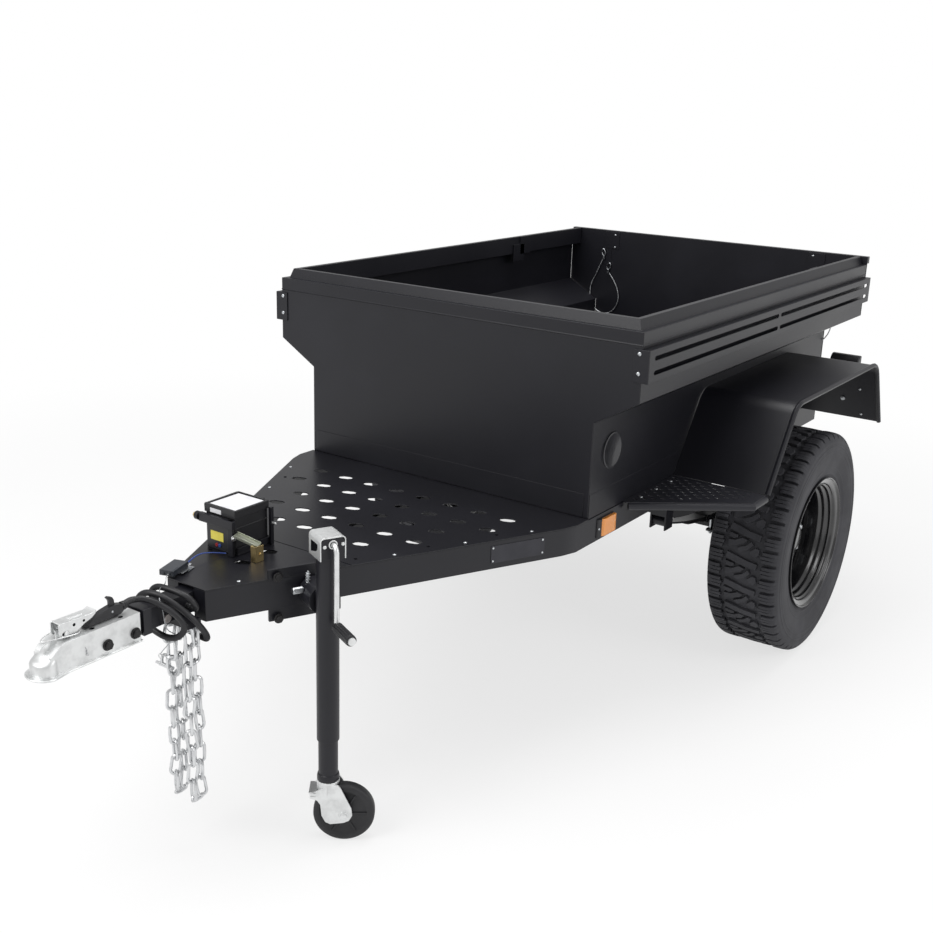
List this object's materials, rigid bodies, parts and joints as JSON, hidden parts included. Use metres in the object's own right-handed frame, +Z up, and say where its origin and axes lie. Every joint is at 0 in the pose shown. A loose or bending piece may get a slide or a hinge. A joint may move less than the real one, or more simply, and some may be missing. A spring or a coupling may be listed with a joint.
{
  "type": "off-road box trailer",
  "caption": "Single-axle off-road cargo trailer with a stepped steel tub, folding tailgate, flat fenders, plated A-frame, ball coupler and a swing-up jack with a caster wheel.",
  "frame": {"origin": "on the ground under the middle of the trailer's length", "axes": "+Y to the rear, -Y to the coupler, +X to the trailer's left side, +Z up"},
  "size_m": [1.635, 3.239, 1.233],
  "materials": {
    "black_coat": "satin black powder coat",
    "gloss_black": "gloss black paint",
    "zinc": "bright zinc plate",
    "rubber": "matte black",
    "tyre_rubber": "matte black",
    "black_plastic": "matte black",
    "amber_lens": "clear amber lens",
    "red_lens": "clear red lens"
  },
  "bodies": {
    "trailer_body": {"axle_beam": "black_coat", "battery_box": "black_plastic", "battery_cradle": "black_plastic", "breakaway_switch": "black_plastic", "channel_end_left": "black_coat", "channel_end_right": "black_coat", "coupler": "zinc", "crossmember_front": "black_coat", "crossmember_mid": "black_coat", "crossmember_rear": "black_coat", "deck_front_plate": "black_coat", "deck_main_plate": "black_coat", "fender_left": "black_coat", "fender_right": "black_coat", "frame_rail_left": "black_coat", "frame_rail_right": "black_coat", "jack_bracket": "black_coat", "leaf_spring_left": "black_coat", "leaf_spring_right": "black_coat", "loom_coil": "black_plastic", "loom_plug": "black_plastic", "safety_chain_left": "zinc", "safety_chain_right": "zinc", "shock_left": "black_coat", "shock_right": "black_coat", "side_channel_left": "black_coat", "side_channel_right": "black_coat", "side_marker_left": "amber_lens", "side_marker_right": "amber_lens", "step_plate_left": "black_coat", "step_plate_right": "black_coat", "tail_lamp_left": "red_lens", "tail_lamp_right": "red_lens", "tongue_collar": "black_plastic", "tongue_tube": "black_coat", "top_rail": "black_coat", "tub_floor": "black_coat", "tub_front_panel": "black_coat", "tub_side_left": "black_coat", "tub_side_right": "black_coat", "wiring_loom": "black_plastic"},
    "wheel_left": {"tyre_left": "tyre_rubber", "wheel_rim_left": "gloss_black"},
    "wheel_right": {"tyre_right": "tyre_rubber", "wheel_rim_right": "gloss_black"},
    "tailgate": {"tailgate": "black_coat"},
    "coupler_latch": {"coupler_latch": "zinc"},
    "jack": {"jack_tube": "black_coat", "jack_gear_head": "zinc"},
    "jack_crank": {"jack_crank": "zinc"},
    "jack_leg": {"jack_inner_tube": "black_coat"},
    "caster_fork": {"caster_fork": "zinc"},
    "caster_wheel": {"caster_wheel": "rubber"}
  },
  "joints": [
    {"name": "wheel_left_spin", "type": "hinge", "parent": "trailer_body", "child": "wheel_left", "pos_m": [0.697, 0.8385, 0.372], "axis": [1, 0, 0], "continuous": true},
    {"name": "wheel_right_spin", "type": "hinge", "parent": "trailer_body", "child": "wheel_right", "pos_m": [-0.697, 0.8385, 0.372], "axis": [1, 0, 0], "continuous": true},
    {"name": "tailgate_hinge", "type": "hinge", "parent": "trailer_body", "child": "tailgate", "pos_m": [0, 1.6095, 0.6455], "axis": [-1, 0, 0], "range_deg": [0, 90]},
    {"name": "coupler_latch_hinge", "type": "hinge", "parent": "trailer_body", "child": "coupler_latch", "pos_m": [0, -1.5335, 0.6735], "axis": [1, 0, 0], "range_deg": [0, 60]},
    {"name": "jack_swing", "type": "hinge", "parent": "trailer_body", "child": "jack", "pos_m": [0.17594, -0.94987, 0.6287], "axis": [0.901, -0.4337, 0], "range_deg": [0, 90]},
    {"name": "jack_extend", "type": "slide", "parent": "jack", "child": "jack_leg", "axis": [0, 0, -1], "range_m": [-0.09, 0.25]},
    {"name": "jack_crank_turn", "type": "hinge", "parent": "jack", "child": "jack_crank", "pos_m": [0.29876, -1.00898, 0.7876], "axis": [0.901, -0.4337, 0], "continuous": true},
    {"name": "caster_swivel", "type": "hinge", "parent": "jack_leg", "child": "caster_fork", "pos_m": [0.26785, -0.99411, 0.16], "axis": [0, 0, 1], "continuous": true},
    {"name": "caster_wheel_spin", "type": "hinge", "parent": "caster_fork", "child": "caster_wheel", "pos_m": [0.299, -0.97064, 0.076], "axis": [-0.6018, 0.7986, 0], "continuous": true}
  ]
}
